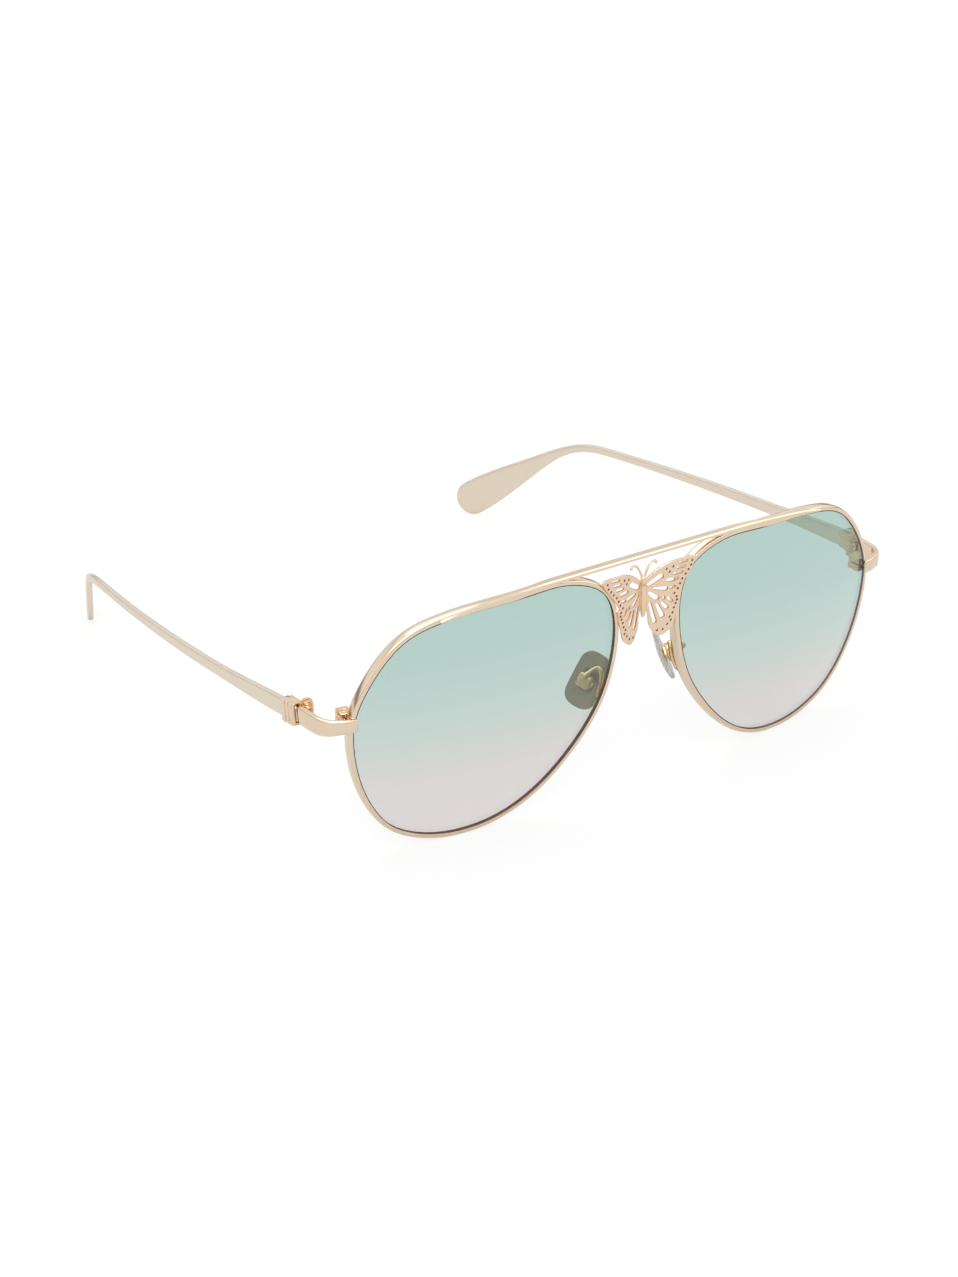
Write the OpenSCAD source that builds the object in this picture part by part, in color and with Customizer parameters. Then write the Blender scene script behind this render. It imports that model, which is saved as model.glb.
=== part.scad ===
// Sunglasses with an openwork butterfly for a bridge.
// The front faces -Y, the temples run back along +Y, and the part rests on its
// rim bottoms and temple tips at z = 0. Left and right are the wearer's, so left
// is +X. Every piece is built on the left side and mirrored for the right.

/* [Lenses] */
// Width of one lens opening
opening_w = 57; // [54:0.5:60]
// Height of one lens opening
opening_h = 50.6; // [48:0.2:53]
// Gap between the two lens openings where they come closest
bridge_gap = 16.4; // [15:0.2:18]
// Thickness of a lens
lens_t = 1.9; // [1.6:0.1:2]
// Radius of the lens surface
lens_r = 178; // [140:2:260]
// How far each lens turns back at its outer side, in degrees
lens_wrap = 7.7; // [5:0.1:10]
// How far each lens leans forward at its top, in degrees
lens_tilt = 4.5; // [2:0.5:7]

/* [Rims] */
// Width of a rim, seen from the front
rim_w = 1.15; // [1:0.05:1.4]
// Depth of a rim, front to back
rim_d = 2.2; // [2:0.1:2.6]
// Chamfer along the rim's edges
rim_edge = 0.22; // [0.1:0.02:0.3]
// Depth of the groove that holds the lens
groove_d = 0.5; // [0.3:0.05:0.7]
// Width of the groove at its mouth
groove_w = 1; // [0.8:0.05:1.2]
// Width of the cut where the rim opens to take the lens
rim_cut = 0.3; // [0.2:0.05:0.5]

/* [Brow bar] */
// Height of the bar above the rims
bar_h = 0.65; // [0.5:0.05:1]
// Depth of the bar, front to back
bar_d = 1.6; // [1.4:0.1:2.2]
// How far the bar stands in front of the rims
bar_proud = 0.45; // [0.3:0.05:0.7]
// How far the bar laps over the front of a rim
bar_lap_w = 0.8; // [0.6:0.05:1]

/* [Butterfly] */
// Rise of the top edge above the place where a wing meets the rim
wing_rise = 1; // [0.8:0.05:1.2]
// Length of the hindwing's tail below the place where it leaves the rim
tail_l = 4.7; // [4.2:0.1:5.2]
// Thickness of the wing plate
wing_t = 0.5; // [0.4:0.05:0.8]
// How far the wings sweep forward from the body, in degrees
wing_sweep = 18; // [12:0.5:24]
// Radius of the body at its widest
body_r = 0.85; // [0.7:0.05:1]
// Length of the body with its head
body_l = 9.2; // [8:0.2:10]
// Radius of an antenna's wire
antenna_r = 0.23; // [0.18:0.01:0.3]
// How far an antenna reaches out sideways
antenna_out = 3.1; // [2.6:0.1:3.4]
// How far an antenna rises above the head
antenna_rise = 3.6; // [3:0.1:4]
// Radius of a dot pierced along the wing margin
dot_r = 0.24; // [0.16:0.01:0.28]

/* [End pieces] */
// Distance from the rim's outer edge out to the temple
end_out = 5.2; // [4.6:0.2:6]
// Distance from the rim's front back to the temple
end_back = 10; // [9:0.2:11]
// Thickness of an end piece and of a temple
band_t = 1.3; // [1.1:0.05:1.5]
// Height of an end piece where it leaves the rim
end_h = 2.8; // [2.5:0.1:3.1]
// Thickness of the end piece's tongue on the rim
tongue_t = 0.6; // [0.5:0.05:0.8]
// Depth of a rim lock block, behind the rim
lock_d = 2.9; // [2.4:0.1:3.2]
// Width of a rim lock block
lock_w = 2.5; // [2.2:0.1:3]
// Height of one half of a rim lock
lock_h = 1.4; // [1.2:0.05:1.8]
// Radius of the rim lock's screw
lock_screw_r = 0.5; // [0.4:0.05:0.6]

/* [Hinges] */
// Radius of a hinge knuckle
knuckle_r = 1.25; // [1.1:0.05:1.4]
// Height of the three knuckles together
hinge_h = 3.6; // [3.2:0.1:4]
// Radius of the hinge screw
pin_r = 0.6; // [0.5:0.05:0.7]
// Length of a hinge leaf along the temple or the end piece
leaf_l = 4.6; // [4:0.2:5]
// Thickness of a hinge leaf
leaf_t = 0.95; // [0.8:0.05:1.1]
// Radius of the hinge screw's head
head_r = 1.05; // [0.9:0.05:1.2]
// Height of the hinge screw's head
head_h = 0.65; // [0.5:0.05:0.8]

/* [Temples] */
// Height of a temple at its hinge
temple_h = 3.9; // [3.5:0.1:4.2]
// Height of a temple at its bend
waist_h = 1.8; // [1.6:0.1:2.2]
// Length from the hinge to the bend
temple_l = 85; // [79:1:91]
// Length of the bend over the ear
bend_l = 23; // [20:0.5:26]
// Width of the flat tip
tip_w = 8.4; // [7:0.2:9.4]
// Thickness of the flat tip
tip_t = 1.5; // [1.2:0.1:1.8]
// Outward lean of a temple at its hinge, in degrees
temple_lean = 3; // [1:0.5:5]
// Inward curve of a temple along its length, in degrees
temple_bow_angle = 10.4; // [8:0.2:12]
// Inward turn of a temple in its bend, in degrees
temple_turn_angle = 18.4; // [14:0.4:20]
// Downward lean of a temple at its hinge, in degrees
temple_dip = 4; // [2:0.5:6]
// Downward turn of a temple in its bend, in degrees
temple_drop_angle = 31; // [27:0.5:36]
// Length of the collar on the temple's front end
collar_l = 4.2; // [3.6:0.2:4.8]
// Thickness of the collar's wall
collar_t = 0.4; // [0.3:0.05:0.5]

/* [Nose pads] */
// Length of a nose pad
pad_l = 12; // [11:0.5:14]
// Width of a nose pad
pad_w = 7; // [6.4:0.2:8]
// Thickness of a nose pad
pad_t = 1.4; // [1.2:0.1:1.8]
// Distance between the middles of the two pads
pad_spacing = 19.4; // [18.6:0.2:21]
// Distance of a pad's middle behind the front of the rims
pad_back = 7.5; // [7:0.1:8.5]
// Height of a pad's middle below the lens centre
pad_down = 0.7; // [0:0.1:1.6]
// Turn of a pad from facing forward, in degrees
pad_splay = 57; // [52:1:60]
// Lean of a pad, bottom outward, in degrees
pad_lean = 22; // [16:1:26]
// Turn of a pad in its own plane, top forward, in degrees
pad_roll = 20; // [10:1:26]
// Radius of a pad arm's wire
arm_r = 0.55; // [0.45:0.05:0.65]
// Rise of a pad arm's loop above its root on the rim
arm_rise = 5.6; // [5:0.2:6.4]
// How far a pad arm leans in over the nose
arm_in = 1.2; // [0.8:0.1:1.6]
// Width of the box that holds the pad
box_w = 3.2; // [2.8:0.1:3.6]
// Depth of the box that holds the pad
box_d = 2.4; // [2.2:0.1:2.6]
// Wall of the box that holds the pad
box_wall = 0.4; // [0.3:0.05:0.45]
// Radius of the pad screw
pad_pin_r = 0.35; // [0.3:0.05:0.4]

/* [Hidden] */
$fn = 48;

// One overrun for every cut
over = 1;
// Gap between pieces that are soldered or pressed together
seat = 0.03;
// Gap between flat faces that slide on each other
slide = 0.06;
// Radial gap of a screw in a bore that turns on it
running = 0.04;
// Gap between a lens and its groove
lens_gap = 0.05;
// Gap between a nose pad and the box it rocks in
pad_clear = 0.4;

gold = [0.93, 0.8, 0.64];
champagne = [0.88, 0.81, 0.71];
screw_gold = [0.85, 0.65, 0.45];
lens_tint = [0.75, 0.84, 0.81, 0.6];
pad_grey = [0.72, 0.74, 0.68, 0.7];

// Curves
function blend(a, b, t) = a + (b - a) * t;
function ease(t) = let (c = max(0, min(1, t))) c * c * (3 - 2 * c);
function unit(v) = v / norm(v);
function spline(a, b, c, d, t) =
    (2 * b + (c - a) * t + (2 * a - 5 * b + 4 * c - d) * t * t
    + (3 * b - a - 3 * c + d) * t * t * t) / 2;
function closed_curve(pts, steps) = let (n = len(pts))
    [for (i = [0 : n - 1], j = [0 : steps - 1])
        spline(pts[(i + n - 1) % n], pts[i], pts[(i + 1) % n], pts[(i + 2) % n], j / steps)];
function open_curve(pts, steps) = let (n = len(pts))
    concat([for (i = [0 : n - 2], j = [0 : steps - 1])
        spline(pts[max(i - 1, 0)], pts[i], pts[i + 1], pts[min(i + 2, n - 1)], j / steps)],
        [pts[n - 1]]);
function turn_z(p, a) = [p.x * cos(a) - p.y * sin(a), p.x * sin(a) + p.y * cos(a), p.z];
function turn_x(p, a) = [p.x, p.y * cos(a) - p.z * sin(a), p.y * sin(a) + p.z * cos(a)];
function turn_y(p, a) = [p.x * cos(a) + p.z * sin(a), p.y, p.z * cos(a) - p.x * sin(a)];
function flipped(p) = [-p.x, p.y, p.z];
function reversed(list) = [for (i = [len(list) - 1 : -1 : 0]) list[i]];

// Skin over a row of sections that have the same number of points. Each end is
// closed by triangles that fan out from one point of its section.
module skin(rows, fan = 0) {
    n = len(rows);
    m = len(rows[0]);
    sides = [for (i = [0 : n - 2], j = [0 : m - 1])
        let (a = i * m + j, b = i * m + (j + 1) % m)
        each [[a, b, b + m], [a, b + m, a + m]]];
    ends = [for (j = [1 : m - 2]) let (a = (fan + j) % m, b = (fan + j + 1) % m, k = (n - 1) * m)
        each [[fan, b, a], [k + fan, k + a, k + b]]];
    polyhedron([for (row = rows) each row], concat(sides, ends), convexity = 8);
}

// Round wire along a path
function wire_rows(path, r, sides) =
    [for (i = [0 : len(path) - 1])
        let (ahead = unit(path[min(i + 1, len(path) - 1)] - path[max(i - 1, 0)]),
            across = unit(cross(ahead, [0.6, -0.8, 0])),
            up = cross(across, ahead))
        [for (j = [0 : sides - 1]) path[i] + r * (cos(j * 360 / sides) * across + sin(j * 360 / sides) * up)]];

// Lens opening: points as shares of half the width and half the height,
// counterclockwise from the outer side, x outward and y up
opening_shares = [[1, 0.08], [0.9, 0.45], [0.65, 0.79], [0.3, 0.925], [-0.2, 0.975],
    [-0.6, 0.99], [-0.9, 0.84], [-1, 0.5], [-0.925, 0], [-0.72, -0.41],
    [-0.4, -0.78], [-0.05, -0.975], [0.35, -0.995], [0.7, -0.82], [0.92, -0.42]];
curve_steps = 5;
opening = [for (s = closed_curve(opening_shares, curve_steps))
    [s.x * opening_w / 2, s.y * opening_h / 2]];
ring_n = len(opening);
outward = [for (i = [0 : ring_n - 1])
    let (t = unit(opening[(i + 1) % ring_n] - opening[(i + ring_n - 1) % ring_n])) [t.y, -t.x]];

// A point of the rim in the lens's own frame: o is outward from the opening's
// edge, w is forward from the rim's front face
function sag(u, v) = lens_r - sqrt(lens_r * lens_r - u * u - v * v);
function rim_at(i, o, w) = let (k = (i + ring_n) % ring_n,
    u = opening[k].x + o * outward[k].x, v = opening[k].y + o * outward[k].y)
    [u, sag(u, v) - w, v];
function lens_turned(p) = turn_x(turn_z(p, lens_wrap), lens_tilt);

// Seam between end piece and temple, beside the rim's outer edge
lock_share = 0.013;
lock_i = round(lock_share * ring_n);
lock_edge = lens_turned(rim_at(lock_i, rim_w, 0));

// Temple: the path from the seam, with its last stretch down to the table
temple_steps = 30;
tip_steps = 10;
function lean_at(s) = -temple_lean + temple_bow_angle * min(s, temple_l) / temple_l
    + temple_turn_angle * ease((s - temple_l) / bend_l);
function dip_at(s) = temple_dip + temple_drop_angle * ease((s - temple_l) / bend_l);
function way_at(s) = [-sin(lean_at(s)) * cos(dip_at(s)), cos(lean_at(s)) * cos(dip_at(s)), -sin(dip_at(s))];
bent_l = temple_l + bend_l;
bent_step = bent_l / temple_steps;
function summed(list, i = 0, at = [0, 0, 0]) =
    i == len(list) ? [at] : concat([at], summed(list, i + 1, at + list[i]));
bent_path = summed([for (i = [0 : temple_steps - 1]) way_at((i + 0.5) * bent_step) * bent_step]);

// The lens centre stands where the rim's lowest point touches the table
lens_up = -min([for (i = [0 : ring_n - 1], w = [0, -rim_d]) lens_turned(rim_at(i, rim_w, w)).z]);
lens_out = bridge_gap / 2 - min([for (i = [0 : ring_n - 1]) lens_turned(rim_at(i, 0, 0)).x]);
hinge_up = lens_up + lock_edge.z;
tip_drop = hinge_up + bent_path[temple_steps].z - tip_w / 2;
tip_way = way_at(bent_l);
tip_l = tip_drop / -tip_way.z;
tip_lean = lean_at(bent_l);
tip_back = bent_path[temple_steps].y + tip_way.y * tip_l + cos(tip_lean) * tip_w / 2 + sin(tip_lean) * tip_t / 2;

// The origin lies midway between the wings' front and the temple tips' back
wing_top_share = 0.387;
wing_low_share = 0.467;
meet_share = 0.44;
wing_top_i = round(wing_top_share * ring_n);
wing_low_i = round(wing_low_share * ring_n);
meet_i = round(meet_share * ring_n);
rim_meet = lens_turned(rim_at(meet_i, rim_w, 0)) + [lens_out, 0, 0];
front_y = min([for (i = [wing_top_i : wing_low_i]) lens_turned(rim_at(i, rim_w / 2, 0)).y]) - seat - wing_t;
back_y = lock_edge.y + end_back + tip_back;
lens_c = [lens_out, -(front_y + back_y) / 2, lens_up];
function placed(p) = lens_c + lens_turned(p);
seam = lens_c + lock_edge + [end_out, end_back, 0];

module lens_frame() translate(lens_c) rotate([lens_tilt, 0, 0]) rotate([0, 0, lens_wrap]) children();
module seam_frame() translate(seam) rotate([0, 0, -temple_lean]) children();
module right() mirror([1, 0, 0]) children();

// Rims
rim_section = [[0, -rim_edge], [rim_edge, 0], [rim_w - rim_edge, 0], [rim_w, -rim_edge],
    [rim_w, rim_edge - rim_d], [rim_w - rim_edge, -rim_d], [rim_edge, -rim_d], [0, rim_edge - rim_d],
    [0, -(rim_d + groove_w) / 2], [groove_d, -rim_d / 2], [0, -(rim_d - groove_w) / 2]];
groove_point = len(rim_section) - 2;

module rim() {
    along = unit(rim_at(lock_i + 1, 0, 0) - rim_at(lock_i - 1, 0, 0));
    rows = [for (i = [lock_i : lock_i + ring_n])
        let (part = i == lock_i ? 1 : i == lock_i + ring_n ? -1 : 0)
        [for (q = rim_section) rim_at(i, q.x, q.y) + along * part * rim_cut / 2]];
    lens_frame() skin(reversed(rows), groove_point);
}

module rim_left() { color(gold) rim(); }
module rim_right() { color(gold) right() rim(); }

// Lenses: two curved faces and an edge that is bevelled to fit the groove
lens_front = -(rim_d - lens_t) / 2;
lens_ring_shares = [0.4, 0.72];
bevel_w = groove_w - 2 * lens_gap;

module lens() {
    back = lens_front - lens_t;
    edge = [[-lens_gap, lens_front], [-lens_gap, -(rim_d - bevel_w) / 2], [groove_d - lens_gap, -rim_d / 2],
        [-lens_gap, -(rim_d + bevel_w) / 2], [-lens_gap, back]];
    face = function (w, share) [for (i = [0 : ring_n - 1])
        let (p = rim_at(i, -lens_gap, 0), u = p.x * share, v = p.z * share) [u, sag(u, v) - w, v]];
    rows = concat([for (s = lens_ring_shares) face(lens_front, s)],
        [for (q = edge) [for (i = [0 : ring_n - 1]) rim_at(i, q.x, q.y)]],
        [for (s = reversed(lens_ring_shares)) face(back, s)]);
    last = len(rows) * ring_n;
    bands = [for (i = [0 : len(rows) - 2], j = [0 : ring_n - 1])
        let (a = i * ring_n + j, b = i * ring_n + (j + 1) % ring_n)
        each [[a, b + ring_n, a + ring_n], [a, b, b + ring_n]]];
    fans = [for (j = [0 : ring_n - 1]) let (k = (j + 1) % ring_n)
        each [[last, k, j], [last + 1, last - ring_n + j, last - ring_n + k]]];
    lens_frame() polyhedron(concat([for (row = rows) each row], [[0, -lens_front, 0], [0, -back, 0]]),
        concat(bands, fans), convexity = 4);
}

module lens_left() { color(lens_tint) lens(); }
module lens_right() { color(lens_tint) right() lens(); }

// Brow bar: lies on the rims' tops, laps their fronts, and runs free over the bridge
bar_start_share = 0.187;
bar_full_share = 0.267;
bar_free_share = 0.32;
bar_start_i = round(bar_start_share * ring_n);
bar_full_i = round(bar_full_share * ring_n);
bar_free_i = round(bar_free_share * ring_n);
bar_start_w = 2 * rim_edge;
// Where the bar's top edge passes the top of the rim
bar_clear_i = bar_start_i + floor((bar_full_i - bar_start_i)
    * (bar_lap_w + seat - bar_start_w) / (bar_lap_w + seat - bar_start_w + bar_h));

// The bar starts as a point on the rim's front. Once its top edge is clear of the
// rim, it also reaches back over the rim's top.
module brow_bar() {
    low = rim_w + seat;
    half = [for (i = [bar_start_i : bar_free_i])
        let (lap = bar_lap_w * min(1, (bar_free_i - i) / (bar_free_i - bar_full_i)) + seat,
            top = blend(low - lap + bar_start_w, low + bar_h, min(1, (i - bar_start_i) / (bar_full_i - bar_start_i))),
            back = blend(seat / 2, bar_proud - bar_d, max(0, i - bar_clear_i) / (bar_free_i - bar_clear_i)),
            inner = min(low, top - seat))
        [for (q = [[low - lap, bar_proud], [top - rim_edge, bar_proud], [top, bar_proud - rim_edge],
            [top, back], [inner, back], [inner, seat], [low - lap, seat]])
            placed(rim_at(i, q.x, q.y))]];
    color(gold) skin(concat([for (row = half) [for (p = row) flipped(p)]], reversed(half)));
}

// Butterfly: two pierced wings that lie on the rims' fronts, a body and two antennae.
// Places on a wing are shares of its reach from the middle and of its height.
margin_lap_shares = [0, 0.5, 0.5, 0.2, 0, 0.35, 0];
margin = [for (i = [wing_top_i : wing_low_i])
    let (p = placed(rim_at(i, rim_w * (1 - lookup(i - wing_top_i, [for (k = [0 : len(margin_lap_shares) - 1])
        [k, margin_lap_shares[k]]])), 0))) [p.x, p.z]];
wing_reach_share = 1.05;
wing_reach = wing_reach_share * margin[0].x;
wing_low = margin[len(margin) - 1].y - tail_l;
wing_h = margin[0].y + wing_rise - wing_low;
function on_wing(s) = [s.x * wing_reach, wing_low + s.y * wing_h];
lead_shares = [[0, 0.745], [0.05, 0.775], [0.12, 0.825], [0.2, 0.875], [0.3, 0.922], [0.4, 0.958], [0.52, 0.985],
    [0.66, 0.995], [0.82, 1], [0.94, 0.99]];
hind_shares = [[0.572, 0.205], [0.505, 0.105], [0.4, 0.03], [0.3, 0], [0.215, 0.035], [0.15, 0.11], [0.11, 0.2],
    [0.085, 0.35], [0, 0.5]];
wing_outline = concat(open_curve([for (s = lead_shares) on_wing(s)], 2), margin,
    open_curve([for (s = hind_shares) on_wing(s)], 2));

// Pierced cells: start, end, then the width at each end
cell_shares = [
    [0.115, 0.71, 0.3, 0.798, 0.08, 0.1],
    [0.205, 0.645, 0.385, 0.628, 0.05, 0.075],
    [0.12, 0.592, 0.238, 0.515, 0.06, 0.085],
    [0.125, 0.45, 0.21, 0.2, 0.05, 0.07],
    [0.245, 0.43, 0.335, 0.27, 0.05, 0.085],
    [0.33, 0.44, 0.405, 0.37, 0.05, 0.065],
    [0.43, 0.5, 0.49, 0.45, 0.045, 0.055],
    [0.355, 0.52, 0.362, 0.495, 0.035, 0.04],
    [0.425, 0.735, 0.575, 0.74, 0.07, 0.06],
    [0.535, 0.812, 0.665, 0.816, 0.05, 0.05],
    [0.59, 0.882, 0.72, 0.884, 0.045, 0.045],
    [0.625, 0.945, 0.765, 0.95, 0.036, 0.036],
    [0.475, 0.632, 0.53, 0.64, 0.045, 0.05]];
cell_arc_steps = 4;
function cell(c) = let (a = on_wing([c[0], c[1]]), b = on_wing([c[2], c[3]]),
    ra = c[4] / 2 * wing_reach, rb = c[5] / 2 * wing_reach, way = atan2(b.y - a.y, b.x - a.x))
    concat([for (k = [0 : cell_arc_steps]) let (t = way - 90 + k * 180 / cell_arc_steps) b + rb * [cos(t), sin(t)]],
        [for (k = [0 : cell_arc_steps]) let (t = way + 90 + k * 180 / cell_arc_steps) a + ra * [cos(t), sin(t)]]);

// Dots: a row inside the margin of both wings and a few inside the forewing's tip
dot_shares = [[0.87, 0.936], [0.85, 0.875], [0.797, 0.826], [0.74, 0.776], [0.675, 0.725], [0.632, 0.667], [0.592, 0.605],
    [0.53, 0.552], [0.572, 0.502], [0.582, 0.457], [0.559, 0.411], [0.527, 0.357], [0.505, 0.293], [0.455, 0.243],
    [0.478, 0.195], [0.416, 0.147], [0.342, 0.087], [0.247, 0.08], [0.5, 0.912], [0.385, 0.892], [0.44, 0.85]];
notch_r = 0.38;

// Where a wing bends, as a share of its reach, and how far the body stands in
// front of the wings' roots, as a share of its radius
bend_share = 0.6;
body_proud_share = 0.5;

module wing() {
    bend_x = bend_share * wing_reach;
    tip_x = wing_reach + wing_h;
    flat_y = lens_c.y + front_y;
    root_y = flat_y + bend_x * tan(wing_sweep);
    intersection() {
        translate([0, root_y + wing_h, 0]) rotate([90, 0, 0]) linear_extrude(2 * wing_h) difference() {
            polygon(wing_outline);
            for (c = cell_shares) polygon(cell(c));
            for (p = dot_shares) translate(on_wing(p)) circle(dot_r, $fn = 8);
            translate(margin[meet_i - wing_top_i]) circle(notch_r, $fn = 10);
        }
        linear_extrude(wing_h * 4) polygon([[0, root_y], [bend_x, flat_y], [tip_x, flat_y],
            [tip_x, flat_y + wing_t], [bend_x, flat_y + wing_t], [0, root_y + wing_t]]);
    }
}

// Body profile: radius as a share of the widest, height as a share of the length
body_shares = [[0, 0], [0.42, 0.02], [0.72, 0.14], [0.95, 0.34], [0.8, 0.52], [1, 0.68], [0.92, 0.79], [0.55, 0.85],
    [0.8, 0.91], [0.68, 0.98], [0, 1]];
body_low_share = 0.285;
antenna_root_share = 0.9;
antenna_shares = [[0.1, 0], [0.17, 0.3], [0.32, 0.6], [0.55, 0.88], [0.8, 1], [0.96, 0.95], [1, 0.8]];

module antenna() {
    skin(wire_rows(open_curve([for (s = antenna_shares) [s.x * antenna_out, 0, s.y * antenna_rise]], 3), antenna_r, 8));
}

module butterfly_bridge() {
    body_low = wing_low + body_low_share * wing_h;
    body_y = lens_c.y + front_y + bend_share * wing_reach * tan(wing_sweep) + wing_t / 2 - body_proud_share * body_r;
    color(gold) {
        wing();
        right() wing();
        translate([0, body_y, body_low]) {
            rotate_extrude() polygon([for (s = body_shares) [s.x * body_r, s.y * body_l]]);
            translate([0, 0, antenna_root_share * body_l]) {
                antenna();
                right() antenna();
            }
        }
    }
}

// End pieces: points of the outer face as shares of end_out and end_back, from the rim
end_shares = [[-0.27, -0.096], [0.1, -0.083], [0.42, -0.009], [0.75, 0.081], [0.97, 0.235], [1.07, 0.45]];
end_steps = 3;

module end_piece() {
    corner = lens_c + lock_edge;
    hinge_out = seam + turn_z([band_t / 2, 0, 0], -temple_lean);
    outer = open_curve(concat([for (s = end_shares) [corner.x + s.x * end_out, corner.y + s.y * end_back]],
        [[hinge_out.x, hinge_out.y]]), end_steps);
    last = len(outer) - 1;
    rows = [for (i = [0 : last])
        let (way = i == last ? [sin(temple_lean), cos(temple_lean)]
                : unit(outer[min(i + 1, last)] - outer[max(i - 1, 0)]),
            t = outer[i].x < corner.x + seat + (band_t - tongue_t) / 2 ? tongue_t : band_t,
            inner = outer[i] + t * [-way.y, way.x],
            h = blend(end_h, temple_h, ease(i / last)) / 2, e = rim_edge)
        [for (q = [[0, e - h], [0, h - e], [e, h], [1 - e, h], [1, h - e], [1, e - h], [1 - e, -h], [e, -h]])
            let (p = blend(outer[i], inner, q.x)) [p.x, p.y, seam.z + q.y]]];
    skin(rows);
}

module end_piece_left() { color(gold) end_piece(); }
module end_piece_right() { color(gold) right() end_piece(); }

// Rim locks: two blocks behind the rim, one on each side of its cut, and their screw
lock_u = rim_at(lock_i, 0, 0).x;
lock_v = rim_at(lock_i, 0, 0).z;
lock_y = rim_at(lock_i, rim_w, -rim_d).y + seat;
lock_axis = [lock_u + rim_w / 2, lock_y + lock_d / 2];

module lock_half(low) {
    lens_frame() difference() {
        translate([lock_axis.x - lock_w / 2, lock_y, lock_v + low]) cube([lock_w, lock_d, lock_h]);
        translate([lock_axis.x, lock_axis.y, lock_v + low - over]) cylinder(h = lock_h + 2 * over, r = lock_screw_r + seat);
    }
}

module rim_lock_upper_left() { color(gold) lock_half(rim_cut / 2); }
module rim_lock_upper_right() { color(gold) right() lock_half(rim_cut / 2); }
module rim_lock_lower_left() { color(gold) lock_half(-rim_cut / 2 - lock_h); }
module rim_lock_lower_right() { color(gold) right() lock_half(-rim_cut / 2 - lock_h); }

module lock_screw() {
    head = lock_screw_r / 1.2;
    bottom = lock_v - rim_cut / 2 - lock_h;
    lens_frame() translate([lock_axis.x, lock_axis.y, bottom - head - seat]) {
        cylinder(h = head, r = lock_screw_r * 1.7);
        cylinder(h = head + seat + rim_cut + 2 * lock_h, r = lock_screw_r);
    }
}

module rim_lock_screw_left() { color(screw_gold) lock_screw(); }
module rim_lock_screw_right() { color(screw_gold) right() lock_screw(); }

// Hinges, in the seam's frame: x outward, y along the temple
axis_in = band_t / 2 + seat + knuckle_r + slide;
knuckle_h = (hinge_h - 2 * slide) / 3;
leaf_x = -band_t / 2 - seat - leaf_t;
front_leaf_l = leaf_l / 2;

// The three knuckles: the middle one is the temple's
module knuckle(r, grow) translate([-axis_in, 0, -knuckle_h / 2 - grow]) cylinder(h = knuckle_h + 2 * grow, r = r);
module hinge_bore() translate([-axis_in, 0, -hinge_h]) cylinder(h = 2 * hinge_h, r = pin_r + running);

module front_hinge() {
    seam_frame() difference() {
        union() {
            translate([-axis_in, 0, -hinge_h / 2]) cylinder(h = hinge_h, r = knuckle_r);
            translate([leaf_x, -front_leaf_l, -hinge_h / 2]) cube([leaf_t, front_leaf_l, hinge_h]);
        }
        knuckle(knuckle_r + 3 * slide, slide);
        hinge_bore();
    }
}

module temple_hinge() {
    seam_frame() difference() {
        union() {
            knuckle(knuckle_r, 0);
            translate([leaf_x, 2 * slide, -hinge_h / 2]) cube([leaf_t, leaf_l, hinge_h]);
        }
        for (side = [-1, 1]) translate([0, 0, side * (knuckle_h + slide)]) knuckle(knuckle_r + 3 * slide, slide);
        hinge_bore();
    }
}

module front_hinge_left() { color(screw_gold) front_hinge(); }
module front_hinge_right() { color(screw_gold) right() front_hinge(); }
module temple_hinge_left() { color(screw_gold) temple_hinge(); }
module temple_hinge_right() { color(screw_gold) right() temple_hinge(); }

module hinge_screw() {
    seam_frame() translate([-axis_in, 0, -hinge_h / 2]) difference() {
        union() {
            cylinder(h = hinge_h + seat, r = pin_r);
            translate([0, 0, hinge_h + seat]) cylinder(h = head_h, r = head_r);
        }
        translate([-head_r * 2, -head_r / 6, hinge_h + head_h / 2]) cube([head_r * 4, head_r / 3, head_h]);
    }
}

module hinge_screw_left() { color(screw_gold) hinge_screw(); }
module hinge_screw_right() { color(screw_gold) right() hinge_screw(); }

// Temples: a flat band that narrows to its bend and widens to a spoon tip
straight_l = collar_l + 4 * slide;
wide_l = temple_l / 3;
tip_at = bent_l + tip_l;
temple_end = tip_at + tip_w / 2;
function band_h(s) = s < temple_l
    ? blend(temple_h, waist_h, 0.62 * ease((s - straight_l) / wide_l) + 0.38 * ease((s - wide_l) / (temple_l - wide_l)))
    : blend(waist_h, tip_w, ease((s - temple_l - bend_l / 2) / (tip_at - temple_l - bend_l / 2)));
function spoon_h(s) = s < tip_at ? band_h(s) : 2 * sqrt(max(0, pow(tip_w / 2, 2) - pow(s - tip_at, 2)));
function thick(s) = blend(band_t, tip_t, ease((s - temple_l) / (tip_at - temple_l)));
path_end = bent_path[temple_steps];
tip_angles = [0, 20, 38, 54, 68, 79];
temple_stations = concat(
    [for (i = [1 : temple_steps]) [i * bent_step, bent_path[i]]],
    [for (k = [1 : tip_steps]) let (s = tip_l * k / tip_steps) [bent_l + s, path_end + tip_way * s]],
    [for (a = [for (k = [1 : len(tip_angles) - 1]) tip_angles[k]]) let (s = tip_l + sin(a) * tip_w / 2)
        [bent_l + s, path_end + tip_way * s]]);

function band_row(p, s) = let (h = spoon_h(s) / 2, t = thick(s) / 2, e = min(rim_edge, h / 2),
    out = [cos(lean_at(s)), sin(lean_at(s)), 0], up = cross(out, way_at(s)))
    [for (q = [[t, e - h], [t, h - e], [t - e, h], [e - t, h], [-t, h - e], [-t, e - h], [e - t, -h], [t - e, -h]])
        seam + p + q.x * out + q.y * up];

module temple() {
    start = [for (s = [4 * slide, straight_l]) band_row(way_at(0) * s, 0)];
    skin(concat(start, [for (st = temple_stations) if (st[0] > straight_l) band_row(st[1], st[0])]));
}

module temple_left() { color(champagne) temple(); }
module temple_right() { color(champagne) right() temple(); }

// Collars: a channel over the temple's front end, with upright ribs
rib_n = 3;

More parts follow.
